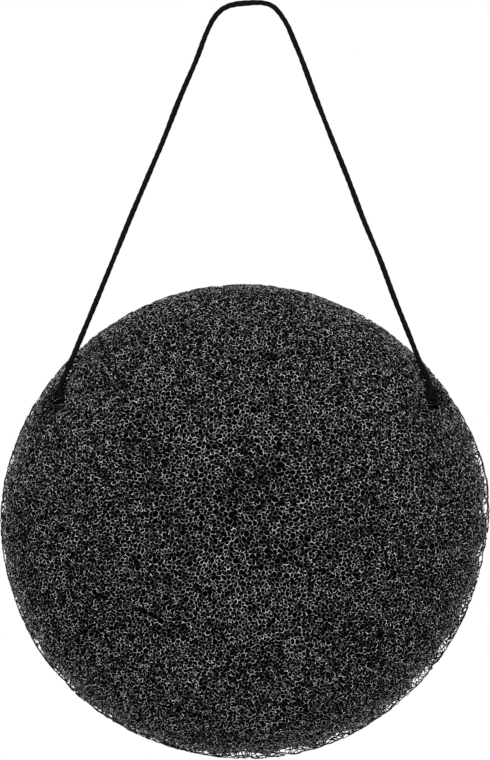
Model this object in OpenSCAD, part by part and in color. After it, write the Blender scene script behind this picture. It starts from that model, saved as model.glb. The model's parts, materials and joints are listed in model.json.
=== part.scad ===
// Half-ball konjac sponge on a closed loop of thin string, as it hangs from a hook.
// Millimetres. The origin is the seat of the loop, where a hook bears; +Z is up and the
// dome of the sponge looks along -Y. The string runs straight through the foam on a line
// parallel to X, and the sponge swings on that line.

/* [Sponge] */
// Width of the sponge across its rim
sponge_w = 80; // [70:1:95]
// Height of the sponge across its rim
sponge_h = 78; // [68:1:95]
// Depth from the flat back to the crown of the dome
sponge_d = 38; // [32:1:46]
// Rounding between the dome and the flat back
rim_round = 4; // [2:0.5:6]
// Thickness that the flat back cuts off the rounding
back_trim = 0.2; // [0.1:0.05:0.5]

/* [Hanging] */
// Diameter of the string
string_d = 0.9; // [0.6:0.05:1.1]
// Drop from the seat of the loop to the threaded line
line_drop = 65; // [60:1:75]
// Height of the threaded line above the middle of the sponge
line_up = 18.5; // [17:0.25:20]
// Distance of the threaded line from the flat back
line_depth = 16.2; // [14:0.2:18]
// Distance from the middle of the sponge to where the string starts to bend out
exit_reach = 28.3; // [27:0.1:29.5]
// Backward lean of the sponge as it hangs balanced, in degrees
hang_tilt = 5; // [0:0.5:10]
// Gap between the string and the channel it made through the foam
channel_gap = 0.07; // [0.03:0.01:0.15]

/* [Crease] */
// Reach of the crease at each exit, measured from the threaded line
crease_r = 7; // [5:0.1:8]
// Reach of the crease on its closed side, measured from the threaded line
crease_lip = 0.85; // [0.7:0.05:1.5]
// Turn of the string that the crease leaves room for towards the dome, in degrees
crease_front = 86; // [60:1:95]
// Turn of the string that the crease leaves room for towards the flat back, in degrees
crease_back = 20; // [10:1:30]
// Depth of the sloping floor of the crease
crease_slope = 0.3; // [0.1:0.1:2]

/* [Knot] */
// Gap between strands where they lie together in the knot
strand_gap = 0.1; // [0.05:0.05:0.3]
// Length of the lead from each run into the knot
knot_lead = 2.4; // [1.8:0.1:4]
// Length of each cut tail beyond its bight
tail_len = 3.6; // [2:0.1:6]
// Gap between the knot and the pocket that the foam leaves round it
pocket_gap = 0.4; // [0.2:0.1:1]

/* [Hidden] */
$fn = 64;

foam_black = [0.13, 0.13, 0.13];
string_black = [0.05, 0.05, 0.05];

// One overrun serves every cut
over = 1;

rim_r = sponge_w / 2;
squash_share = sponge_h / sponge_w;
rim_depth = rim_round - back_trim;
dome_d = sponge_d - rim_depth;

// Sizes of the knot, from the string
strand_pitch = string_d + strand_gap;
leg_half = strand_pitch / 2;
weave_half = strand_pitch / 2;
// A bight goes round the other strand's legs, one strand pitch outside them
bight_r = leg_half + strand_pitch;
// The legs of a bight change places over the middle stretch of the knot
swap_share = 0.6;
swap_half = swap_share * bight_r;
bight_reach = swap_half + bight_r;
run_start = bight_reach + knot_lead;
pocket_r = bight_r + string_d / 2 + pocket_gap;
pocket_half = bight_reach + max(knot_lead, tail_len) + pocket_gap;
// The cut tails spread away from the leads by this share of a strand pitch
tail_spread_share = 0.9;

// Route of the free stretch, from the left exit over the seat to the right exit,
// as distances right of the middle and above the seat
loop_route = [
    [-28.3, -65], [-29.15, -64.8], [-29.85, -64.25], [-30.25, -63.5], [-30.35, -62.65],
    [-30.15, -61.8], [-29.75, -60.8], [-28.6, -58.2], [-26.9, -54.2], [-24.35, -48.1],
    [-21.65, -41.5], [-19, -35], [-16.2, -28.4], [-13.4, -21.8], [-10.85, -15.3], [-8.15, -9],
    [-6.8, -5.4], [-5.95, -3.4], [-5.05, -1.8], [-3.9, -0.6], [-2.6, 0.05], [-1.2, 0.35],
    [0, 0.45], [1.6, 0.55], [3.1, 0.45], [4.35, 0], [5.3, -0.85], [6.2, -2.1], [7, -3.5],
    [7.8, -5.4], [9.2, -8.8], [11.6, -15.3], [14.15, -21.8], [16.8, -28.4], [19.3, -35],
    [22, -41.5], [24.45, -48.1], [26.9, -54.2], [28.5, -58.2], [29.75, -60.8],
    [30.15, -61.8], [30.35, -62.65], [30.25, -63.5], [29.85, -64.25], [29.15, -64.8],
    [28.3, -65]
];
string_sides = 8;
ring_step = 2.6 * string_d;
knot_step = 0.6 * string_d;
fan_steps = 6;

// A point of a smooth curve that passes through b and c, at share t between them
function curve_point(a, b, c, d, t) =
    0.5 * (2 * b + (c - a) * t + (2 * a - 5 * b + 4 * c - d) * t * t
        + (3 * b - a - 3 * c + d) * t * t * t);

// The point beyond an end that makes the curve leave that end level, in line with the run
function beyond(end, next) = [2 * end.x - next.x, next.y];

// The route as a smooth curve, with a point about every step
function smooth_route(p, step) = [
    for (i = [0 : len(p) - 2])
        let (a = i == 0 ? beyond(p[0], p[1]) : p[i - 1],
             d = i == len(p) - 2 ? beyond(p[i + 1], p[i]) : p[i + 2],
             n = max(1, round(norm(p[i + 1] - p[i]) / step)))
        for (k = [0 : n - 1]) curve_point(a, p[i], p[i + 1], d, k / n),
    p[len(p) - 1]
];

function unit(v) = v / norm(v);
function heading(p, i) = unit(p[min(i + 1, len(p) - 1)] - p[max(i - 1, 0)]);

// One ring of string round point i; aside is a direction that the path never follows
function string_ring(p, i, along, aside, r) =
    let (u = unit(cross(along, aside)), v = cross(u, along))
    [for (k = [0 : string_sides - 1])
        let (a = 360 * k / string_sides) p[i] + r * (cos(a) * u + sin(a) * v)];

// A round string along the points p, with flat ends square to start and finish
module string_tube(p, aside, start, finish) {
    n = len(p);
    rings = [for (i = [0 : n - 1])
        let (along = i == 0 ? start : i == n - 1 ? finish : heading(p, i))
        string_ring(p, i, along, aside, string_d / 2)];
    points = [for (ring = rings) each ring];
    walls = [
        for (i = [0 : n - 2], k = [0 : string_sides - 1])
            let (a = i * string_sides + k, b = i * string_sides + (k + 1) % string_sides)
            each [[a, a + string_sides, b], [b, a + string_sides, b + string_sides]]
    ];
    near_end = [for (k = [1 : string_sides - 2]) [0, k, k + 1]];
    last = (n - 1) * string_sides;
    far_end = [for (k = [1 : string_sides - 2]) [last, last + k + 1, last + k]];
    polyhedron(points, concat(walls, near_end, far_end));
}

// A smooth step from 0 to 1 as t goes from 0 to 1
function ease(t) = let (s = min(1, max(0, t))) s * s * (3 - 2 * s);

// Distance of a bight's leg from the middle line of the knot, at x
function leg_out(x) = leg_half + (bight_r - leg_half) * ease((x + swap_half) / (2 * swap_half));
// Height of the weave at x: over, under and over again, fading out along the lead
function weave(x) =
    x > -bight_reach ? -weave_half * cos(180 * x / bight_reach)
        : weave_half * (1 - ease((-bight_reach - x) / knot_lead));

// The string that comes in from the left: lead, upper leg, bight, lower leg and tail
knot_path = [
    for (x = [-run_start : knot_step : -bight_reach - knot_step / 2])
        [x, leg_half * ease((x + run_start) / knot_lead), weave(x)],
    for (x = [-bight_reach : knot_step : swap_half - knot_step / 2]) [x, leg_out(x), weave(x)],
    for (a = [90 : -15 : -90])
        let (x = swap_half + bight_r * cos(a)) [x, bight_r * sin(a), weave(x)],
    for (x = [swap_half - knot_step : -knot_step : -bight_reach]) [x, -leg_out(x), weave(x)],
    for (t = [knot_step : knot_step : tail_len])
        [-bight_reach - t, -leg_half - tail_spread_share * strand_pitch * ease(t / tail_len),
            weave(-bight_reach - t)]
];

// Moves its children from the middle of the threaded line to their place in the part
module at_line() translate([0, 0, -line_drop]) children();

// A bar along the threaded line, from x to x + length
module line_bar(r, x, length)
    at_line() translate([x, 0, 0]) rotate([0, 90, 0]) cylinder(r = r, h = length);

// The foam without its cuts, with the middle of its rim plane at the origin
module half_ball() {
    intersection() {
        scale([1, 1, squash_share]) union() {
            intersection() {
                scale([rim_r, dome_d, rim_r]) sphere(r = 1);
                ahead_of(0);
            }
            rotate([-90, 0, 0]) rotate_extrude() rim_outline();
        }
        ahead_of(rim_depth);
    }
}

// A block that holds all of the foam ahead of the plane at y
module ahead_of(y)
    translate([-sponge_w, -sponge_d, -sponge_w]) cube([2 * sponge_w, sponge_d + y, 2 * sponge_w]);

// Half section of the slab behind the rim, with its rounded back edge
module rim_outline() {
    square([rim_r - rim_round, rim_round]);
    translate([rim_r - rim_round, 0]) intersection() {
        circle(r = rim_round);
        square(rim_round);
    }
}

// The fan of directions that the string can take at an exit, seen along X
module crease_fan() {
    first = 90 + hang_tilt - crease_back;
    last = 90 + hang_tilt + crease_front;
    intersection() {
        circle(r = crease_r);
        union() {
            polygon([
                [0, 0],
                for (k = [0 : fan_steps])
                    let (a = first + (last - first) * k / fan_steps)
                    2 * crease_r * [cos(a), sin(a)]
            ]);
            for (a = [first, last])
                rotate(a) translate([0, -crease_lip]) square([crease_r, 2 * crease_lip]);
        }
    }
    circle(r = crease_lip);
}

// The crease at the right exit, about the threaded line
module crease() {
    floor_x = exit_reach - string_d / 2;
    intersection() {
        translate([floor_x, 0, 0]) rotate([90, 0, 90]) linear_extrude(rim_r) crease_fan();
        translate([floor_x, 0, 0]) rotate([0, 90, 0]) union() {
            cylinder(r1 = crease_lip, r2 = crease_r + over, h = crease_slope);
            translate([0, 0, crease_slope]) cylinder(r = crease_r + over, h = rim_r);
        }
    }
}

module sponge_body() {
    color(foam_black) difference() {
        at_line() rotate([-hang_tilt, 0, 0])
            translate([0, line_depth - rim_depth, -line_up]) half_ball();
        line_bar(string_d / 2 + channel_gap, -exit_reach - over, 2 * (exit_reach + over));
        line_bar(pocket_r, -pocket_half, 2 * pocket_half);
        at_line() crease();
        at_line() mirror([1, 0, 0]) crease();
    }
}

module hanging_loop() {
    route = [for (p = smooth_route(loop_route, ring_step)) [p.x, 0, p.y]];
    color(string_black) string_tube(route, [0, 1, 0], [-1, 0, 0], [-1, 0, 0]);
}

module string_run_left() {
    color(string_black) line_bar(string_d / 2, -exit_reach, exit_reach - run_start);
}

module string_run_right() {
    color(string_black) line_bar(string_d / 2, run_start, exit_reach - run_start);
}

module string_knot() {
    color(string_black) at_line() {
        string_tube(knot_path, [0, 0, 1], [1, 0, 0], [-1, 0, 0]);
        rotate([180, 0, 180]) string_tube(knot_path, [0, 0, 1], [1, 0, 0], [-1, 0, 0]);
    }
}

sponge_body();
hanging_loop();
string_run_left();
string_run_right();
string_knot();
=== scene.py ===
# %% [markdown]
# # A konjac sponge on its string
#
# This sponge is a half ball of foam that was cooked from root starch and blackened with
# charcoal. A thin string runs through it, is knotted inside and hangs it up to dry. The lesson
# builds the two things that make such a sponge look real: the open net of cells at its surface,
# and the twisted string. Everything is worked out as whole arrays of points with numpy, and
# handed to Blender at the end of each step.

import json

import bmesh
import bpy
import numpy as np
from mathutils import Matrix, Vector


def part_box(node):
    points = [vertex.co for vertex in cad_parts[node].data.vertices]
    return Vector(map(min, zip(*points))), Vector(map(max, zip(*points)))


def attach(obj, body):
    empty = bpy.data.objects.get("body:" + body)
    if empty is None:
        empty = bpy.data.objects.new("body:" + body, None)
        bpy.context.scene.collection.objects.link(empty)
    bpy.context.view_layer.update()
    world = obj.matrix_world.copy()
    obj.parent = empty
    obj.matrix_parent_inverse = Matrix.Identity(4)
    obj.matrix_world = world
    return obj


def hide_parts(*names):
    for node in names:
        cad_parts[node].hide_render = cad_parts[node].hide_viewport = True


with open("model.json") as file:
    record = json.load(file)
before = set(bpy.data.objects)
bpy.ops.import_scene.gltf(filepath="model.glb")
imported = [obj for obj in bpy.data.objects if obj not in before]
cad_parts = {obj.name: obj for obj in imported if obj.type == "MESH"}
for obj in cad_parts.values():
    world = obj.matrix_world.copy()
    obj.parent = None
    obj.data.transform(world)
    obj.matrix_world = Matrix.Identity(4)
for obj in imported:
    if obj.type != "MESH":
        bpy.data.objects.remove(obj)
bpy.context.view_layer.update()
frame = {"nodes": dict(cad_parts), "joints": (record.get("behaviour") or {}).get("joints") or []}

# %% [markdown]
# ## Units and the few sizes that everything follows
#
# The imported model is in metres, but a sponge is easier to think about in millimetres, so the
# arrays hold millimetres and one helper turns them into metres as it fills the mesh. The
# sponge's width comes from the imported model's own box, and the other sizes repeat those of the
# construction. The threaded line is the line along which the string runs through the foam, and
# the sponge swings on it. It lies line_up above the middle of the half ball and line_depth in
# front of its flat back. The half ball is a little less high than wide, by squash_share, and its
# rim is rounded over the last rim_depth in front of the back.

# %% Sizes of the sponge, in millimetres
MM = 0.001
foam_low, foam_high = (np.array(corner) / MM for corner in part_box("sponge_body"))
rim_r = (foam_high[0] - foam_low[0]) / 2
hang_tilt = np.radians(5)
line_z = frame["joints"][0]["pos_m"][2] / MM
line_up = 18.5
line_depth = 16.2
sponge_d = 38.0
rim_round = 4.0
rim_depth = 3.8
dome_d = sponge_d - rim_depth
squash_share = 78 / 80
print("rim radius", round(rim_r, 2), "mm, dome", dome_d, "mm deep, threaded line at", line_z)

# %% [markdown]
# ## From arrays to a mesh
#
# Blender can take a whole mesh at once: all the points as one flat list, all the corners of the
# faces as another, and where each face starts. That is much faster than adding faces one by one,
# and the foam below has hundreds of thousands of them.


# %% Fill a mesh from arrays
def mesh_piece(name, points, quads, triangles=()):
    """A mesh object. Points are in millimetres; a row of quads or triangles holds the numbers
    of a face's points, in the order that turns left when it is seen from outside."""
    quads = np.asarray(quads, np.int32).reshape(-1, 4)
    triangles = np.asarray(triangles, np.int32).reshape(-1, 3)
    corners = np.concatenate([quads.ravel(), triangles.ravel()])
    sizes = np.repeat([4, 3], [len(quads), len(triangles)])
    mesh = bpy.data.meshes.new(name)
    mesh.vertices.add(len(points))
    mesh.vertices.foreach_set("co", (points * MM).astype(np.float32).ravel())
    mesh.loops.add(len(corners))
    mesh.loops.foreach_set("vertex_index", corners)
    mesh.polygons.add(len(sizes))
    mesh.polygons.foreach_set("loop_start", (np.cumsum(sizes) - sizes).astype(np.int32))
    mesh.polygons.foreach_set("use_smooth", np.ones(len(sizes), bool))
    mesh.update(calc_edges=True)
    piece = bpy.data.objects.new(name, mesh)
    bpy.context.collection.objects.link(piece)
    print(name, len(points), "points,", 2 * len(quads) + len(triangles), "triangles")
    return piece


# %% [markdown]
# ## The camera
#
# The photograph looks straight at the dome from far away: the two legs of the string and the
# round rim show no perspective. A very long lens from two metres gives that view. The frame is
# 760 pixels high and spans 124.8 mm of the object, and the camera aims at the middle of it.

# %% Set the camera
frame_height = 124.8
aim = np.array([-0.1, 6.0, -61.25])
lens, sensor = 600.0, 36.0
camera_away = frame_height * lens / sensor
camera_data = bpy.data.cameras.new("camera")
camera_data.lens = lens
camera_data.sensor_width = sensor
camera_data.clip_end = 40
camera = bpy.data.objects.new("camera", camera_data)
camera.location = (aim - [0, camera_away, 0]) * MM
camera.rotation_euler = (np.pi / 2, 0, 0)
bpy.context.collection.objects.link(camera)
bpy.context.scene.camera = camera
print("camera", round(camera_away * MM, 3), "m in front of the sponge")

# %% [markdown]
# ## The route of the string
#
# A limp string pulled tight by a light weight makes two nearly straight legs. They meet over the
# hook in a soft, slightly lopsided bow, and at the bottom each leg turns in through a small bend
# to the exit of its channel. The route is a list of given points, the same as in the
# construction, and a Catmull-Rom curve makes a smooth line through them: between two points it
# is a cubic whose slope at each point is half the step between that point's neighbours.

# %% Points of the route, right of the middle and above the hook
loop_route = np.array([
    [-28.3, -65], [-29.15, -64.8], [-29.85, -64.25], [-30.25, -63.5], [-30.35, -62.65],
    [-30.15, -61.8], [-29.75, -60.8], [-28.6, -58.2], [-26.9, -54.2], [-24.35, -48.1],
    [-21.65, -41.5], [-19, -35], [-16.2, -28.4], [-13.4, -21.8], [-10.85, -15.3], [-8.15, -9],
    [-6.8, -5.4], [-5.95, -3.4], [-5.05, -1.8], [-3.9, -0.6], [-2.6, 0.05], [-1.2, 0.35],
    [0, 0.45], [1.6, 0.55], [3.1, 0.45], [4.35, 0], [5.3, -0.85], [6.2, -2.1], [7, -3.5],
    [7.8, -5.4], [9.2, -8.8], [11.6, -15.3], [14.15, -21.8], [16.8, -28.4], [19.3, -35],
    [22, -41.5], [24.45, -48.1], [26.9, -54.2], [28.5, -58.2], [29.75, -60.8],
    [30.15, -61.8], [30.35, -62.65], [30.25, -63.5], [29.85, -64.25], [29.15, -64.8],
    [28.3, -65],
])


# %% A smooth line through the points
def smooth_line(points, per_stretch):
    """The Catmull-Rom curve through the points, with per_stretch steps between two of them.
    It leaves both ends level, in line with the channel."""
    flip = np.array([-1, 1])
    first = points[1] * flip + [2 * points[0, 0], 0]
    last = points[-2] * flip + [2 * points[-1, 0], 0]
    p = np.vstack([first, points, last])
    a, b, c, d = (p[k:len(p) - 3 + k, None] for k in range(4))
    t = np.arange(per_stretch)[None, :, None] / per_stretch
    line = 0.5 * (2 * b + (c - a) * t + (2 * a - 5 * b + 4 * c - d) * t**2
                  + (3 * b - a - 3 * c + d) * t**3)
    return np.vstack([line.reshape(-1, 2), points[-1]])


def even_line(line, step):
    """The same line, with its points one step apart along it."""
    along = np.concatenate([[0], np.cumsum(np.linalg.norm(np.diff(line, axis=0), axis=1))])
    at = np.linspace(0, along[-1], round(along[-1] / step) + 1)
    return np.stack([np.interp(at, along, line[:, k]) for k in range(line.shape[1])], 1), at


route, route_at = even_line(smooth_line(loop_route, 24), 0.15)
string_line = np.stack([route[:, 0], np.zeros(len(route)), route[:, 1]], 1)
print("free string", round(route_at[-1], 1), "mm long")

# %% [markdown]
# ## The string
#
# Thin hanging cord is laid from three soft plies that wind round each other and are pressed
# nearly round. A tube whose outline is a blunt three-lobed clover does that when the clover turns
# as it goes along the line: each lobe becomes one ply. The yarn is also a little thicker in some
# places than in others, so a few slow waves along the string change its size. Two directions
# square to the line carry the outline. One of them can stay the same all the way, because the
# whole route lies in one upright plane.

# %% Sizes of the string
string_d = 0.9
ply_length = 3.9
ply_depth = 0.1


# %% A three-lobed tube that turns as it goes
def plied_tube(line, at, sides=24):
    """Points on a grid, one ring for each point of the line. The radius at angle a is
    r * (1 - ply_depth * (1 - |cos(3 / 2 * (a - turn))|)), times slow waves along the line that
    fade out within one string's width of its ends. The turn goes once round per ply_length."""
    heading = np.gradient(line, axis=0)
    heading /= np.linalg.norm(heading, axis=1)[:, None]
    across = np.array([0.0, 1.0, 0.0])
    aside = np.cross(heading, across)
    angle = 2 * np.pi * np.arange(sides) / sides
    turn = 2 * np.pi * at / ply_length
    lobes = np.abs(np.cos(1.5 * (angle[None] - turn[:, None])))
    slubs = 1 + 0.03 * np.sin(at / 0.9) + 0.03 * np.sin(at / 1.7 + 2) - 0.04 * np.sin(at / 3.1)
    ends = np.minimum(1, np.minimum(at, at[-1] - at) / string_d)
    radius = string_d / 2 * (1 - ply_depth * (1 - lobes)) * (1 + ends * (slubs - 1))[:, None]
    ring = np.cos(angle)[None, :, None] * across + np.sin(angle)[None, :, None] * aside[:, None]
    return (line[:, None] + radius[:, :, None] * ring).reshape(-1, 3), sides


def tube_faces(rings, sides):
    """Quads between neighbouring rings, and a fan of triangles that closes each end."""
    k = np.arange(sides)
    ring, side = np.meshgrid(np.arange(rings - 1), k, indexing="ij")
    here, next_side = ring * sides + side, ring * sides + (side + 1) % sides
    quads = np.stack([here, here + sides, next_side + sides, next_side], -1).reshape(-1, 4)
    fan = np.stack([0 * k[1:-1], k[1:-1], k[1:-1] + 1], 1)
    return quads, np.concatenate([fan, fan[:, ::-1] + (rings - 1) * sides])


points, sides = plied_tube(string_line, route_at)
quads, caps = tube_faces(len(string_line), sides)
string_loop = mesh_piece("string_loop", points, quads, caps)

# %% [markdown]
# ## The outline of the half ball
#
# Seen from the side, the foam goes from the crown of the dome along a quarter of an ellipse to
# the rim, round a small edge and back over the flat side. All the layers of foam follow this
# outline, some of them a little deeper, so it is one function of the depth below the surface.
# It also gives two running sums along the outline: the area of the surface up to each point, to
# spread cells by, and the sum of step over radius, which is what a map needs so that small
# shapes keep their form. On the steep side of the dome the cells are drawn out towards the rim,
# as foam is where it rose along the wall of its mould. So both sums count a step there as
# shorter than it is. The real cells are also wider in the middle of the dome than at its rim. So
# up to the first distance of crowd_range from the axis, the area counts for only crowd_middle of
# itself, and from the second on it counts in full.

# %% The outline, from the crown to the middle of the back
drawn_out = 0.5
crowd_middle = 0.48
crowd_range = [8, 36]
least_r = 0.005
dome_count, edge_count, back_count = 1200, 200, 900


def foam_outline(below):
    """Four arrays: distance from the axis and depth behind the rim plane, both pushed in by
    below along the outline's own normal, and the two running sums. The dome is
    (R sin t, -D cos t), the edge is (R - c * (1 - cos u), c * sin u) and the back is level."""
    t = np.linspace(0, np.pi / 2, dome_count)
    rim_end = np.arcsin(rim_depth / rim_round)
    u = np.linspace(0, rim_end, edge_count)[1:]
    back = np.linspace(rim_r - rim_round * (1 - np.cos(rim_end)), 0, back_count)[1:]
    r = np.concatenate([rim_r * np.sin(t), rim_r - rim_round * (1 - np.cos(u)), back])
    y = np.concatenate([-dome_d * np.cos(t), rim_round * np.sin(u), np.full(len(back), rim_depth)])
    step_r, step_y = np.gradient(r), np.gradient(y)
    size = np.hypot(step_r, step_y)
    r, y = np.maximum(r - below * step_y / size, least_r), y + below * step_r / size
    step = np.hypot(np.diff(r), np.diff(y))
    step /= 1 + drawn_out * (np.diff(y) / step) ** 2
    middle = (r[1:] + r[:-1]) / 2
    crowd = np.interp(middle, crowd_range, [crowd_middle, 1])
    area = np.concatenate([[0], np.cumsum(2 * np.pi * middle * step * crowd)])
    spin = np.concatenate([[0], np.cumsum(step / middle)])
    return r, y, area, spin


outline_r, outline_y, _, _ = foam_outline(0)
outline_length = np.hypot(np.diff(outline_r), np.diff(outline_y)).sum()
print("outline", round(outline_length, 1), "mm long from the crown to the middle of the back")

# %% [markdown]
# ## Placing the foam
#
# The real outline isn't a perfect ellipse: it swells and sinks by about half a millimetre. Its
# edge is dense at the top and torn open at the right and along the bottom, where single walls
# stand out by a millimetre or more. So the foam's own edge is set back by a width that depends
# on the direction, and the strands of the torn edge are added later. Both are short lists of
# directions and sizes, counted from the right over the top. Then the half ball is set against
# the threaded line and leans back by five degrees, as it hangs.

# %% Swelling of the rim, and width of its torn edge
bulge_ways = np.radians([0, 10, 20, 30, 50, 65, 75, 85, 105, 135, 150, 170, 185, 200, 215, 235,
                         250, 270, 280, 300, 320, 340, 352])
bulge_sizes = np.array([0.06, 0.42, 0.16, -0.2, -0.3, -0.2, 0, 0.09, 0.11, -0.06, 0, 0.29, 0.35,
                        0.24, 0.45, 0.28, 0.12, 0.1, 0.25, -0.05, -0.45, -0.6, -0.4])
lace_ways = np.radians([0, 18, 25, 50, 140, 155, 175, 200, 225, 245, 262, 274, 292, 303, 314, 340])
lace_widths = np.array([1.05, 1.2, 0.5, 0.35, 0.35, 0.6, 0.7, 0.6, 0.7, 0.6, 0.8, 1.3, 1.3, 0.9,
                        1.3, 1.2])
bulge_power = 4
lace_reach = 9
print("torn edge", lace_widths.min(), "to", lace_widths.max(), "mm wide")


def lace(direction):
    """Width of the torn edge at direction a, in millimetres: the list's width, times
    0.75 + 0.25 * (sin(9 a + 1.1) * sin(16 a - 0.4) + sin(31 a))."""
    wide = np.interp(direction % (2 * np.pi), lace_ways, lace_widths, period=2 * np.pi)
    quick = np.sin(9 * direction + 1.1) * np.sin(16 * direction - 0.4) + np.sin(31 * direction)
    return wide * (0.75 + 0.25 * quick)


def placed(r, direction, y, laced=True):
    """Points of the hanging foam, from the distance r from the half ball's axis, the direction
    round it and the depth y behind the rim plane. First r grows by (r / R)^bulge_power *
    (swelling - width of the torn edge * exp(-(y / lace_reach)^2)). The strands of the torn edge
    itself are placed with laced=False, which leaves that width out."""
    bulge = np.interp(direction % (2 * np.pi), bulge_ways, bulge_sizes, period=2 * np.pi)
    share = (r / rim_r) ** bulge_power
    r = r + share * (bulge - laced * lace(direction) * np.exp(-(y / lace_reach) ** 2))
    x, up = r * np.cos(direction), r * np.sin(direction) * squash_share
    y, up = y + line_depth - rim_depth, up - line_up
    lean, rise = np.cos(hang_tilt), np.sin(hang_tilt)
    return np.stack([x, y * lean + up * rise, up * lean - y * rise + line_z], -1)


# %% [markdown]
# ## The foam parts round the string
#
# Where the string comes out, it lies in a narrow crease. As the sponge swings, the string turns
# about the threaded line, so the crease is the string's own lower end, swept round that line
# through all the directions it can take. One function pushes any foam point out of the way: in
# the plane through the point and the line it finds the nearest point of the string, and moves
# the foam point off it, towards the sponge's side. A point just past the string goes back to
# that side too, because a wall with an end on each side would lie right across the string's
# path. The foam beside the crease is squeezed together. Walls reach a little past the seeds
# they are built from, so their own points get a last, smaller push. The pull of the string has
# also drawn a shallow valley in the foam below each exit, a longer one at the left.

# %% Sizes of the creases
# The string's directions about the threaded line are in degrees, from straight back upwards.
fan_first, fan_last = 68, 192
crease_r, crease_reach = 9, 26
part_room = 0.55
part_soft = 1.5
part_outer = 0.9
clear_room = 0.52
clear_soft = 1.1 * clear_room
valley_depth = 1.4
valley_width = 1.1
valley_fade = 0.75
valley_back = 6
end_count = 75
exit_run = np.stack([-route[:end_count, 0], route[:end_count, 1] - line_z], 1)
exit_run = np.concatenate([[[exit_run[0, 0] - 2, 0]], exit_run])
exit_side = np.gradient(exit_run, axis=0)[:, ::-1] * [-1, 1]
exit_side /= np.linalg.norm(exit_side, axis=1)[:, None]
valley_lines = np.array([[[-30.4, -63.6], [-34.6, -69.2]], [[30.9, -63.9], [32.8, -65.8]]])
print("creases follow the string for", round(exit_run[-1, 1], 1), "mm from the threaded line")


def soft_step(t):
    """0 up to t = 0, 1 from t = 1, and a smooth step between."""
    t = np.clip(t, 0, 1)
    return t * t * (3 - 2 * t)


def valley(points):
    """How deep in a valley a point lies, 0 to 1: exp(-(off / width)^2) off the valley's line,
    times 1 - valley_fade * t for the share t along it, and 0 at the back of the sponge."""
    total = np.zeros(len(points))
    for start, end in valley_lines:
        along = end - start
        t = np.clip((points[:, [0, 2]] - start) @ along / (along @ along), 0, 1)
        off = np.linalg.norm(points[:, [0, 2]] - start - t[:, None] * along, axis=1)
        total += np.exp(-(off / valley_width) ** 2) * (1 - valley_fade * t)
    return total * soft_step((line_depth - rim_depth - points[:, 1]) / valley_back)


def pushed(points, room, soft):
    """Foam points moved out of the string's way. In the plane of reach, along the threaded line,
    and rho, away from it, a point at distance d to the sponge's side of the string,
    -outer < d < soft, moves to room + (d + outer) * (soft - room) / (soft + outer). The push
    fades out over soft beside the fan of the string's directions."""
    moved = points.copy()
    reach = np.abs(points[:, 0])
    back, up = points[:, 1], points[:, 2] - line_z
    rho = np.hypot(back, up)
    near = np.flatnonzero((rho < crease_r) & (reach > crease_reach))
    here = np.stack([reach[near], rho[near]], 1)
    gaps = np.linalg.norm(here[:, None] - exit_run[None], axis=2)
    nearest, side = exit_run[gaps.argmin(1)], exit_side[gaps.argmin(1)]
    gap = gaps.min(1) * np.sign(((here - nearest) * side).sum(1))
    turn = np.degrees(np.arctan2(up[near], back[near])) % 360
    outside = np.maximum(np.maximum(fan_first - turn, turn - fan_last), 0)
    outside = np.minimum(outside, (fan_first - turn) % 360)
    beside = rho[near] * np.sin(np.radians(np.minimum(outside, 90)))
    weight = soft_step(1 - (beside - room) / soft)
    target = room + (gap + part_outer) * (soft - room) / (soft + part_outer)
    push = weight * np.maximum(target - gap, 0) * (gap > -part_outer * (beside < room))
    shift = side * push[:, None]
    moved[near, 0] += np.sign(points[near, 0]) * shift[:, 0]
    turn_ways = np.stack([back[near], up[near]], 1) / np.maximum(rho[near], 1e-6)[:, None]
    moved[near, 1:] += turn_ways * shift[:, 1:]
    return moved


def parted(points, spare=0.0):
    """Foam points sunk into the valleys, then pushed out of the string's way."""
    sunk = points.copy()
    sunk[:, 1] += valley_depth * valley(points)
    return pushed(sunk, part_room + spare, part_soft + spare)


def cleared(points):
    """The last, small push for points of walls, which reach a little past their seeds."""
    return pushed(points, clear_room, clear_soft)


# %% [markdown]
# ## Smooth noise
#
# Foam is never even. Two dozen waves in random directions, added up, make a smooth random
# field in space. It needs no grid and no picture, and it is the same each time because the
# random numbers start from a fixed seed.


# %% A smooth random field
def noise(points, wavelength, seed, waves=24):
    """The sum of cosines of random direction and phase, scaled to a spread of about 1."""
    draw = np.random.default_rng(seed)
    ways = draw.normal(size=(waves, 3))
    ways *= 2 * np.pi / wavelength / np.linalg.norm(ways, axis=1)[:, None]
    total = np.cos(points @ ways.T + draw.uniform(0, 2 * np.pi, waves)).sum(1)
    return total / np.sqrt(waves / 2)


# %% [markdown]
# ## Where the cells are
#
# The seeds of the cells follow a spiral with the golden angle, as in a sunflower, which spreads
# them evenly by area, and each is shaken. Some are then taken out, more where the noise is high
# and towards the middle, which leaves coarser patches. Pure chance would take out several side
# by side and leave dark blotches. So a count decides: a seed's number times the root of 2, less
# its whole part, is spread evenly between 0 and 1, and the seed goes where that is below the
# share to take out. A second, sparser spiral holds the seeds of the large pores: each clears the
# small seeds round it, in a wider circle near the middle of the dome. The result is a mix of
# small and large cells, as in the real foam.


# %% Seeds along a shaken spiral
def spiral(count, shake, r, area, draw):
    """Seed k lies at share (k + 1 / 2) / count of the area, in direction k * golden angle, both
    moved by a random number of spacings. Returns the area up to each seed, and its direction."""
    spacing = np.sqrt(area[-1] / count)
    at = (np.arange(count) + 0.5) / count * area[-1]
    radius = np.interp(at, area, r)
    at = at + draw.normal(0, shake * spacing, count) * 2 * np.pi * np.maximum(radius, spacing)
    at = area[-1] - np.abs(area[-1] - np.abs(at))
    radius = np.interp(at, area, r)
    direction = np.arange(count) * np.pi * (3 - np.sqrt(5))
    direction = direction + draw.normal(0, shake * spacing, count) / np.maximum(radius, spacing)
    return at, direction


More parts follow.
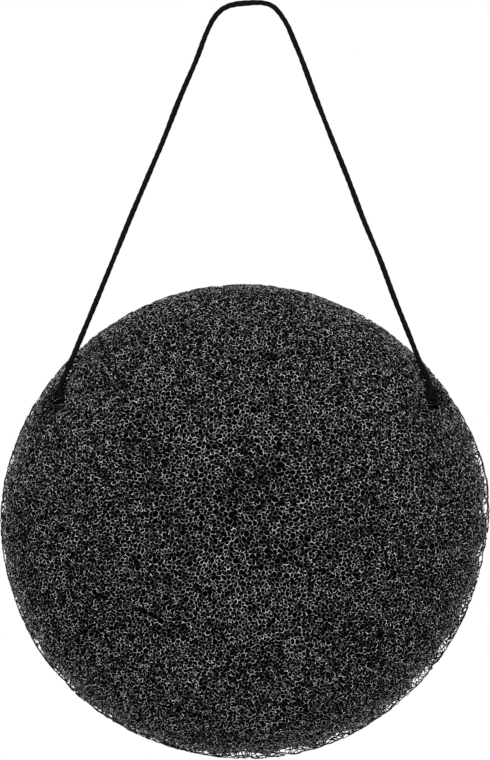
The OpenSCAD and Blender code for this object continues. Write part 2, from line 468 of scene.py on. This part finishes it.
# %% Scatter the seeds of the cells
cell_shake, pore_shake = 0.45, 0.3
patch_size, patch_share = 5, 0.4
thin_share, thin_end, thin_width = 0.08, 38, 24
pore_least, pore_more = 0.5, 0.45
pore_loss, pore_loss_r = 0.35, 36


def scatter(count, below, coarse, pores, seed):
    """Returns each seed's place on the outline (distance from the axis, direction, depth) and
    its direction on a unit ball, polar angle 2 * atan(exp(sum of step over radius)). The share
    taken out is coarse * (1 + patch_share * noise), and up to thin_share more in the middle.
    A pore clears pore_least + pore_more * u^2 mm round it, u from 0 to 1 at random, and up to
    pore_loss of that less near the rim."""
    r, y, area, spin = foam_outline(below)
    draw = np.random.default_rng(seed)
    fine = spiral(count, cell_shake, r, area, draw)
    large = spiral(pores, pore_shake, r, area, draw)
    at, direction = (np.concatenate(pair) for pair in zip(fine, large))
    radius, depth = np.interp(at, area, r), np.interp(at, area, y)
    where = placed(radius, direction, depth, laced=False)
    missing = coarse * (1 + patch_share * noise(where, patch_size, seed + 1))
    missing = missing + thin_share * soft_step((thin_end - radius) / thin_width)
    kept = np.arange(len(at)) * np.sqrt(2) % 1 > missing
    pore_sizes = pore_least + pore_more * draw.uniform(size=pores) ** 2
    pore_sizes *= 1.0 - pore_loss * soft_step(radius[count:] / pore_loss_r)
    for centre, size in zip(where[count:], pore_sizes):
        kept &= ((where - centre) ** 2).sum(1) > size**2
    kept[count:] = True
    equator = np.interp(0.5 * area[-1], area, spin)
    polar = 2 * np.arctan(np.exp(np.interp(at, area, spin) - equator))
    ball = np.stack([np.sin(polar) * np.cos(direction), -np.cos(polar),
                     np.sin(polar) * np.sin(direction)], 1)
    print(kept.sum(), "cells,", pores, "of them large pores")
    return radius[kept], direction[kept], depth[kept], ball[kept]


# %% [markdown]
# ## The net of cell walls
#
# Seeds become cells in two steps. On the unit ball, the faces of the convex hull of all seeds
# join each seed to its neighbours. Turned inside out, that gives the cells: the middle of each
# triangle is a knot where three walls meet, and each edge shared by two triangles is a wall
# between two cells. A wall is built with three sides, wide at the surface and pointed below, as
# the walls of real foam are. At each knot, three top corners lie towards the three seeds and one
# point lies below, and neighbouring walls share them, so the whole net is one closed surface.


# %% Join seeds to their neighbours
def hull_triangles(ball):
    """Triangles of the convex hull of points on a unit ball, turning left from outside."""
    cloud = bpy.data.meshes.new("cloud")
    cloud.vertices.add(len(ball))
    cloud.vertices.foreach_set("co", ball.astype(np.float32).ravel())
    hull = bmesh.new()
    hull.from_mesh(cloud)
    bmesh.ops.convex_hull(hull, input=hull.verts, use_existing_faces=False)
    hull.to_mesh(cloud)
    hull.free()
    triangles = np.empty(3 * len(cloud.polygons), np.int32)
    cloud.polygons.foreach_get("vertices", triangles)
    bpy.data.meshes.remove(cloud)
    triangles = triangles.reshape(-1, 3)
    a, b, c = (ball[triangles[:, k]] for k in range(3))
    inward = (np.cross(b - a, c - a) * a).sum(1) < 0
    triangles[inward] = triangles[inward, ::-1]
    return triangles


# %% Build the walls between the cells
def cell_net(seeds, triangles, half_width, height, rough, seed):
    """Points and faces of the net. A knot is the mean of its triangle's three seeds, moved by
    rough times a random number along the triangle's normal. Its corners lie half_width * (0.5
    to 1.6) towards the seeds, at most 0.4 of the way, and its lower point lies
    height * (0.8 to 1.3) below."""
    draw = np.random.default_rng(seed)
    count = len(triangles)
    around = seeds[triangles]
    normal = np.cross(around[:, 1] - around[:, 0], around[:, 2] - around[:, 0])
    normal /= np.maximum(np.linalg.norm(normal, axis=1), 1e-9)[:, None]
    knots = around.mean(1) + normal * (rough * draw.normal(size=count).clip(-2, 2))[:, None]
    spokes = around - knots[:, None]
    lengths = np.maximum(np.linalg.norm(spokes, axis=2), 1e-6)
    wide = half_width * draw.uniform(0.5, 1.6, (count, 1))
    corners = knots[:, None] + spokes * (np.minimum(wide, 0.4 * lengths) / lengths)[:, :, None]
    lower = knots - normal * (height * draw.uniform(0.8, 1.3, count))[:, None]
    points = np.concatenate([corners.reshape(-1, 3), lower])
    # Two triangles share each edge. One number for an edge's two seeds puts its halves side by
    # side when the edges are sorted by it.
    start, end = triangles.ravel(), np.roll(triangles, -1, axis=1).ravel()
    edge = np.minimum(start, end).astype(np.int64) * len(seeds) + np.maximum(start, end)
    order = np.argsort(edge, kind="stable")
    one, two = order[0::2], order[1::2]
    one_next, two_next = (h - h % 3 + (h + 1) % 3 for h in (one, two))
    one_low, two_low = 3 * count + one // 3, 3 * count + two // 3
    quads = np.concatenate([
        np.stack([one, two_next, two, one_next], 1),
        np.stack([two_next, one, one_low, two_low], 1),
        np.stack([one_next, two, two_low, one_low], 1),
    ])
    return points, quads, np.arange(3 * count).reshape(-1, 3), knots, normal


# %% [markdown]
# ## The skin of the foam
#
# The outermost net has cells about 0.6 mm wide in the middle of the dome and 0.45 mm near its
# rim, and pores of up to twice that. Its walls are thin, and its knots lie a little above or
# below each other, so that each wall catches the light in its own way.

# %% Make the skin
skin_seeds = scatter(count=80000, below=0.0, coarse=0.1, pores=1500, seed=11)
skin_at = parted(placed(*skin_seeds[:3]))
skin_points, skin_quads, skin_tops, skin_knots, skin_normals = cell_net(
    skin_at, hull_triangles(skin_seeds[3]), half_width=0.04, height=0.12, rough=0.11, seed=12)
skin_points = cleared(skin_points)
foam_skin = mesh_piece("foam_skin", skin_points, skin_quads, skin_tops)

# %% [markdown]
# ## The cells below
#
# Through the pores of the skin one sees a second net just below it, with cells about twice as
# wide, and short walls that run from the skin's knots into the foam. Without them the pores
# would look like holes in a sieve. No short wall starts near a crease, because it would reach
# into the string's path.

# %% Make the second net
under_below = 0.6
under_spare = 0.1
under_seeds = scatter(count=18000, below=under_below, coarse=0.12, pores=100, seed=21)
under_at = parted(placed(*under_seeds[:3]), under_spare)
under_points, under_quads, under_tops, under_knots, _ = cell_net(
    under_at, hull_triangles(under_seeds[3]), half_width=0.1, height=0.2, rough=0.2, seed=22)
under_points = cleared(under_points)
foam_under = mesh_piece("foam_under", under_points, under_quads, under_tops)


# %% Bars between pairs of points
def bars(starts, ends, width):
    """Closed three-sided bars between pairs of points. Two directions square to each bar carry
    the triangle of its ends, turned at random."""
    draw = np.random.default_rng(len(starts))
    along = ends - starts
    along /= np.maximum(np.linalg.norm(along, axis=1), 1e-9)[:, None]
    aside = np.cross(along, draw.normal(size=along.shape))
    aside /= np.linalg.norm(aside, axis=1)[:, None]
    upward = np.cross(along, aside)
    angle = 2 * np.pi * np.arange(3) / 3
    ring = (np.cos(angle)[None, :, None] * aside[:, None]
            + np.sin(angle)[None, :, None] * upward[:, None])
    ring = ring * np.broadcast_to(width, len(starts))[:, None, None] / np.sqrt(3)
    points = np.concatenate([starts[:, None] + ring, ends[:, None] + ring], 1).reshape(-1, 3)
    first = 6 * np.arange(len(starts))[:, None, None]
    quads = np.array([[0, 1, 4, 3], [1, 2, 5, 4], [2, 0, 3, 5]]) + first
    return points, quads.reshape(-1, 4), (np.array([[2, 1, 0], [3, 4, 5]]) + first).reshape(-1, 3)


# %% Short walls from the skin into the foam
post_count = 14000
post_top, post_foot = 0.08, 0.95
post_slant = 0.25
post_width = 0.13
bare_r, bare_reach = 7, 27
draw = np.random.default_rng(31)
from_line = np.hypot(skin_knots[:, 1], skin_knots[:, 2] - line_z)
clear = np.flatnonzero((from_line > bare_r) | (np.abs(skin_knots[:, 0]) < bare_reach))
rooted = draw.choice(clear, post_count, replace=False)
slant = draw.normal(0, post_slant, (len(rooted), 3))
posts = bars(skin_knots[rooted] - post_top * skin_normals[rooted],
             skin_knots[rooted] - post_foot * skin_normals[rooted] + slant, post_width)
post_points = cleared(posts[0])
foam_posts = mesh_piece("foam_posts", post_points, *posts[1:])

# %% [markdown]
# ## The dark core
#
# Below the second net the foam is too deep for light. A closed, lumpy surface stands for it. It
# is a grid: one direction follows the outline, the other goes round the axis, and both ends
# close in a point. Noise moves each point towards the middle or away from it, by up to lump_most
# of its distance from there.

# %% Make the core
core_below = 1.25
core_spare = 0.45
core_rows, core_columns = 110, 220
lump_size, lump_share, lump_most = 2.2, 0.006, 0.012
r, y, area, _ = foam_outline(core_below)
along = np.concatenate([[0], np.cumsum(np.hypot(np.diff(r), np.diff(y)))])
at = np.linspace(0, along[-1], core_rows + 2)[1:-1]
ring_r, ring_y = np.interp(at, along, r), np.interp(at, along, y)
around = 2 * np.pi * np.arange(core_columns) / core_columns
grid_r, grid_way = np.meshgrid(ring_r, around, indexing="ij")
grid_y = np.repeat(ring_y[:, None], core_columns, axis=1)
core = placed(grid_r.ravel(), grid_way.ravel(), grid_y.ravel())
middle = core.mean(0)
lumps = (lump_share * noise(core, lump_size, 41)).clip(-lump_most, lump_most)
core += (middle - core) * lumps[:, None]
ends = placed(np.zeros(2), np.zeros(2), np.array([y[0], y[-1]]))
core = parted(np.concatenate([core, ends]), core_spare)
row, column = np.meshgrid(np.arange(core_rows - 1), np.arange(core_columns), indexing="ij")
here, beside = row * core_columns + column, row * core_columns + (column + 1) % core_columns
quads = np.stack([here, here + core_columns, beside + core_columns, beside], -1)
first, last = core_rows * core_columns, (core_rows - 1) * core_columns
k = np.arange(core_columns)
tips = np.concatenate([
    np.stack([first + 0 * k, k, (k + 1) % core_columns], 1),
    np.stack([first + 1 + 0 * k, last + (k + 1) % core_columns, last + k], 1),
])
foam_core = mesh_piece("foam_core", core, quads.reshape(-1, 4), tips)

# %% [markdown]
# ## The torn edge
#
# Round the rim, torn cells stand out as thin strands, and the white background shows through
# between them. They are drawn out along the rim. Each net of strands has three rings of knots,
# from the foam's own edge to the outline, all shaken. Bars join neighbours along a ring, and
# short struts join each ring to the next, with many left out at random. Three such nets lie a
# little in front of and behind each other.


# %% Strands of cell wall round the rim
rings = 3
ring_chances = np.array([[0.4], [0.5], [0.95]])
narrow_lace, narrow_loss = 0.4, 0.4
strut_chance, cross_chance = 0.55, 0.2
wave_depth, shake_depth = 0.7, 0.45
lace_stretch = 1.1
lace_inset = 0.03
lace_back = rim_depth - 0.3


def strands(count, depth, seed):
    """Ends of the bars of one net. Knot k of ring j lies at direction (k + j / 2) / count of a
    turn, and at radius outline(y) - lace_inset - lace_stretch * lace * (1 - j / 2), both shaken;
    y follows a slow wave. Where the torn edge is narrow, the outer ring has more gaps."""
    draw = np.random.default_rng(seed)
    ring, knot = np.meshgrid(np.arange(rings), np.arange(count), indexing="ij")
    way = 2 * np.pi * (knot + ring / 2 + draw.uniform(-0.4, 0.4, ring.shape)) / count
    room = lace(way)
    share = ring / (rings - 1) + draw.normal(0, 0.17, ring.shape)
    share = share - draw.uniform(0, 0.1, (1, count))
    y = depth + wave_depth * np.sin(9 * way + seed) + draw.normal(0, shake_depth, ring.shape)
    y = np.minimum(y, lace_back)
    widest = np.interp(y, outline_y, outline_r)
    r = widest - lace_inset - room * (lace_stretch - lace_stretch * np.minimum(share, 1))
    knots = parted(placed(r.ravel(), way.ravel(), y.ravel(), laced=False))
    knots = knots.reshape(rings, count, 3)
    onward = np.roll(knots, -1, axis=1)
    chance = ring_chances - narrow_loss * (room < narrow_lace) * (ring == rings - 1)
    kept = draw.uniform(size=ring.shape) < chance
    struts = draw.uniform(size=(rings - 1, count)) < strut_chance
    crossed = draw.uniform(size=(rings - 1, count)) < cross_chance
    starts = [knots[kept], knots[:-1][struts], onward[:-1][crossed]]
    ends = [onward[kept], knots[1:][struts], knots[1:][crossed]]
    return np.concatenate(starts), np.concatenate(ends)


# %% Make the torn edge
thinnest, thickest = 0.1, 0.22
nets = [strands(290, -1.5, 51), strands(340, -0.2, 52), strands(270, 1.1, 53)]
strand_starts = np.concatenate([net[0] for net in nets])
strand_ends = np.concatenate([net[1] for net in nets])
strand_widths = np.random.default_rng(55).uniform(thinnest, thickest, len(strand_starts))
foam_lace = mesh_piece("foam_lace", *bars(strand_starts, strand_ends, strand_widths))

# %% [markdown]
# ## How light or dark each wall is
# The starch has dried to a dark, slightly glassy grey, and charcoal is spread unevenly. Each
# point of the foam gets a tone between 0 and 1, kept as an attribute of the mesh, and the
# material reads it. A texture could colour the walls instead, but it wouldn't know where a wall
# begins, and the change from wall to wall is what makes foam look like foam. Each knot has a
# random tone of its own, its corners differ from it, and smooth noise adds patches. The
# brightest tones are painted highlights, glints on the walls. Painted shade darkens the valleys
# below the string's exits and the lower edges of the walls. Towards the rim a wider spread of
# tones paints the light that comes through the foam's edge from behind.

# %% Write the tone of each point
middle_tone, rim_loss = 0.52, 0.06
rim_from, rim_width = 12, 26
patch_tone, long_patch, short_patch = 0.015, 14, 3
# Towards the rim the spread of tones grows: painted backlight, bright spots where light comes
# through the foam's edge.
knot_tone, rim_knot_backlight = 0.11, 0.03
point_tone, rim_point_backlight = 0.2, 0.12
# Painted shade: the foam in the valleys below the string's exits is darkened.
valley_shade_tone = 0.33
# Painted shade: the lower points of the walls and of the short walls are darkened.
low_shade_share = 0.05


def set_tone(piece, points, group, low, seed):
    """tone = middle_tone + patches of noise + a random number per group of points + one per
    point - valley_shade_tone * valley, between 0 and 1, and times low_shade_share for low
    points; these two are painted shade. Towards the rim both random numbers grow, painted
    backlight for light that comes through the foam there from behind, and the middle of the
    tones is rim_loss lower."""
    draw = np.random.default_rng(seed)
    from_axis = np.hypot(points[:, 0], (points[:, 2] - line_z + line_up) / squash_share)
    rim_share = soft_step((from_axis - rim_from) / rim_width)
    tone = middle_tone - rim_loss * rim_share
    tone += (patch_tone * noise(points, long_patch, seed)
             + patch_tone * noise(points, short_patch, seed + 1))
    tone += (knot_tone + rim_knot_backlight * rim_share) * draw.normal(size=group.max() + 1)[group]
    tone += (point_tone + rim_point_backlight * rim_share) * draw.normal(size=len(points))
    tone = np.clip(tone - valley_shade_tone * valley(points), 0, 1) * np.where(low, low_shade_share, 1.0)
    attribute = piece.data.attributes.new("tone", "FLOAT", "POINT")
    attribute.data.foreach_set("value", tone.astype(np.float32))
    print(piece.name, "mean tone", round(tone.mean(), 3))


def net_groups(knots):
    """The number of the knot that each point of a cell net belongs to, and which are low."""
    group = np.concatenate([np.arange(len(knots)).repeat(3), np.arange(len(knots))])
    return group, np.arange(4 * len(knots)) >= 3 * len(knots)


# %% Give each layer its tones
set_tone(foam_skin, skin_points, *net_groups(skin_knots), 61)
set_tone(foam_under, under_points, *net_groups(under_knots), 62)
post_point = np.arange(len(post_points))
set_tone(foam_posts, post_points, post_point // 6, post_point % 6 >= 3, 63)
lace_points = np.concatenate([strand_starts, strand_ends], 1).reshape(-1, 3).repeat(3, 0)
set_tone(foam_lace, lace_points, np.arange(len(lace_points)) // 3, False, 64)


# %% [markdown]
# ## Materials
#
# All finishes here are one Principled shader with a pattern for its colour, so a helper makes
# the shader and another makes the Color Ramp that turns a pattern into greys. Numbers that are
# the same all over the surface, such as roughness, are set on the shader itself.


# %% Start a material
def finish(name, roughness, specular):
    """A new material, its node tree and its Principled shader."""
    material = bpy.data.materials.new(name)
    material.use_nodes = True
    tree = material.node_tree
    shader = tree.nodes["Principled BSDF"]
    shader.inputs["Roughness"].default_value = roughness
    shader.inputs["Specular IOR Level"].default_value = specular
    return material, tree, shader


def ramp(tree, source, stops):
    """A Color Ramp from (place, grey) stops."""
    node = tree.nodes.new("ShaderNodeValToRGB")
    node.color_ramp.interpolation = "LINEAR"
    elements = node.color_ramp.elements
    while len(elements) < len(stops):
        elements.new(0.5)
    for element, (place, grey) in zip(elements, stops):
        element.position = place
        element.color = (grey, grey, grey, 1)
    tree.links.new(source, node.inputs["Fac"])
    return node.outputs["Color"]


# %% [markdown]
# ## The finish of the foam
# A dried wall is thin, smooth and faintly glassy, so the skin's finish has a low roughness. Its
# ramp runs from near black to near white; the near-white top is painted highlight, glints of lit
# wall edges far brighter than the foam as a whole. The second net and the short walls are the
# same stuff in the shade of the skin, so they wear a darker copy of its finish, painted shade,
# and they hardly shine: the white sky would turn the pores grey. The strands of the torn edge
# stand against that sky and look darker than the skin. The core's near black is painted shade
# too, with the faint edges of a Voronoi pattern in its colour, a last hint of cells deep in the
# pores.


# %% Foam walls
def wall_finish(name, stops, roughness, specular):
    """A finish whose grey follows the tone of the mesh, through the stops of a ramp."""
    material, tree, shader = finish(name, roughness, specular)
    tone = tree.nodes.new("ShaderNodeAttribute")
    tone.attribute_name = "tone"
    tree.links.new(ramp(tree, tone.outputs["Fac"], stops), shader.inputs["Base Color"])
    return material


# The ramp's near-white top stops are painted highlights: glints on lit wall edges.
skin_finish = wall_finish(
    "foam_skin", [(0, 0.001), (0.3, 0.003), (0.5, 0.1), (0.65, 0.4), (0.8, 0.95), (1, 1.0)],
    0.25, 0.08)
# A darker copy of the skin's finish for the second net and the short walls: painted shade.
shaded_under_finish = wall_finish(
    "foam_under", [(0, 0.001), (0.5, 0.003), (0.75, 0.018), (1, 0.07)], 0.5, 0.01)
lace_finish = wall_finish("foam_lace", [(0, 0.003), (0.5, 0.012), (1, 0.06)], 0.5, 0.2)

# %% The core, and each layer's finish
core_cells_per_metre = 1100
# The core's near-black colour is painted shade, deep in the pores.
shaded_core_finish, tree, shader = finish("foam_core", 0.9, 0.0)
coordinates = tree.nodes.new("ShaderNodeTexCoord")
cells = tree.nodes.new("ShaderNodeTexVoronoi")
cells.feature = "DISTANCE_TO_EDGE"
cells.inputs["Scale"].default_value = core_cells_per_metre
tree.links.new(coordinates.outputs["Object"], cells.inputs["Vector"])
tree.links.new(ramp(tree, cells.outputs["Distance"], [(0, 0.004), (0.12, 0.001), (1, 0.001)]),
               shader.inputs["Base Color"])
for piece, material in ((foam_skin, skin_finish), (foam_under, shaded_under_finish),
                        (foam_posts, shaded_under_finish), (foam_lace, lace_finish),
                        (foam_core, shaded_core_finish)):
    piece.data.materials.append(material)
print("foam finishes:", skin_finish.name, shaded_under_finish.name, lace_finish.name, shaded_core_finish.name)

# %% [markdown]
# ## The finish of the string
#
# The plies of the string are spun from fine black fibres. They are too thin to build, and a
# picture of yarn would have to be wrapped round the tube. Fine noise in space does the same
# without a seam: it sets a slight change of grey, and the height of a bump a few hundredths of a
# millimetre deep. Black yarn is matt, so the shine is nearly off. The knot and the runs inside
# the foam keep the construction's own shape and wear the same finish.

# %% The string's black yarn
fibres_per_metre = 9000
fibre_height = 0.00004
yarn_finish, tree, shader = finish("black_yarn", 0.85, 0.02)
coordinates = tree.nodes.new("ShaderNodeTexCoord")
fibres = tree.nodes.new("ShaderNodeTexNoise")
fibres.inputs["Scale"].default_value = fibres_per_metre
fibres.inputs["Detail"].default_value = 3
tree.links.new(coordinates.outputs["Object"], fibres.inputs["Vector"])
tree.links.new(ramp(tree, fibres.outputs["Fac"], [(0.35, 0.002), (0.65, 0.012)]),
               shader.inputs["Base Color"])
bump = tree.nodes.new("ShaderNodeBump")
bump.inputs["Strength"].default_value = 0.5
bump.inputs["Distance"].default_value = fibre_height
tree.links.new(fibres.outputs["Fac"], bump.inputs["Height"])
tree.links.new(bump.outputs["Normal"], shader.inputs["Normal"])
string_loop.data.materials.append(yarn_finish)
for node in ("string_run_left", "string_run_right", "string_knot"):
    for place in frame["nodes"][node].material_slots:
        place.material = yarn_finish
print("string finish:", yarn_finish.name)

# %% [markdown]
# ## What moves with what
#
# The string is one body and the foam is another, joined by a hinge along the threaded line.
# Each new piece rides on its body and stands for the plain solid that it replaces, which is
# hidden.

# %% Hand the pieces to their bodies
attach(string_loop, "string")
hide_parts("hanging_loop")
for piece in (foam_skin, foam_under, foam_posts, foam_lace, foam_core):
    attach(piece, "sponge")
    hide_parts("sponge_body")
print("handed over:", string_loop.name, "to the string, five layers of foam to the sponge")

# %% [markdown]
# ## Floor, lamps and background
#
# The sponge hangs over a wide white floor. A large soft lamp stands up and to the left in front
# of it, a weaker one to the right, and a pale sky fills the shadows. Together they light a
# surface so that a colour renders about as it is written. To the camera and in reflections, the
# sky is plain white. The floor is four fifths white glow to them, and the fifth that is left
# keeps the sponge's shadow.

# %% Make the floor
floor_r, floor_z = 9000.0, -420.0
floor_sides = 64
k = np.arange(floor_sides)
turn = 2 * np.pi * k / floor_sides
rim = np.stack([floor_r * np.cos(turn), floor_r * np.sin(turn), np.full(floor_sides, floor_z)], 1)
floor_points = np.concatenate([rim, [[0, 0, floor_z]]])
floor_faces = np.stack([k, (k + 1) % floor_sides, floor_sides + 0 * k], 1)
floor = mesh_piece("floor", floor_points, [], floor_faces)


# %% White for the camera, plain light for the rest
def seen_as_white(tree):
    """1 for rays from the camera, and for those that a gloss or a clear surface sends on."""
    rays = tree.nodes.new("ShaderNodeLightPath")
    total = rays.outputs["Is Camera Ray"]
    for name in ("Is Glossy Ray", "Is Transmission Ray"):
        most = tree.nodes.new("ShaderNodeMath")
        most.operation = "MAXIMUM"
        tree.links.new(total, most.inputs[0])
        tree.links.new(rays.outputs[name], most.inputs[1])
        total = most.outputs[0]
    return total


# %% The floor's finish
floor_glow = 0.8
floor_finish, tree, shader = finish("floor_white", 0.9, 0.0)
shader.inputs["Base Color"].default_value = (0.9, 0.9, 0.9, 1)
glow = tree.nodes.new("ShaderNodeEmission")
part = tree.nodes.new("ShaderNodeMath")
part.operation = "MULTIPLY"
part.inputs[1].default_value = floor_glow
mix = tree.nodes.new("ShaderNodeMixShader")
tree.links.new(seen_as_white(tree), part.inputs[0])
tree.links.new(part.outputs[0], mix.inputs["Fac"])
tree.links.new(shader.outputs[0], mix.inputs[1])
tree.links.new(glow.outputs[0], mix.inputs[2])
tree.links.new(mix.outputs[0], tree.nodes["Material Output"].inputs["Surface"])
floor.data.materials.append(floor_finish)

# %% The sky
world = bpy.data.worlds.new("studio")
bpy.context.scene.world = world
world.use_nodes = True
sky = world.node_tree.nodes["Background"]
sky.inputs["Color"].default_value = (1, 1, 1, 1)
fill_level = 0.45
level = world.node_tree.nodes.new("ShaderNodeMapRange")
level.inputs["To Min"].default_value = fill_level
level.inputs["To Max"].default_value = 1.0
world.node_tree.links.new(seen_as_white(world.node_tree), level.inputs["Value"])
world.node_tree.links.new(level.outputs["Result"], sky.inputs["Strength"])
print("sky", fill_level, "for the lighting, 1 for the camera")


# %% Lamps
def soft_lamp(name, place, size, level):
    """A square lamp that faces the sponge. Its power makes a white card at the sponge that
    faces it render at level: power = level * pi^2 * distance^2."""
    lamp = bpy.data.lights.new(name, "AREA")
    lamp.size = size
    sponge = np.array([0, 0, -0.085])
    away = np.linalg.norm(np.array(place) - sponge)
    lamp.energy = level * np.pi**2 * away**2
    holder = bpy.data.objects.new(name, lamp)
    holder.location = place
    back = (np.array(place) - sponge) / away
    holder.rotation_euler = (np.arccos(back[2]), 0, np.arctan2(back[0], -back[1]))
    bpy.context.collection.objects.link(holder)
    print(name, "at", round(away, 2), "m,", round(lamp.energy, 2), "W")


soft_lamp("key_lamp", (-0.35, -0.9, 0.55), 0.5, 0.55)
soft_lamp("side_lamp", (0.9, -0.6, 0.1), 0.4, 0.2)
bpy.context.scene.view_settings.view_transform = "Standard"
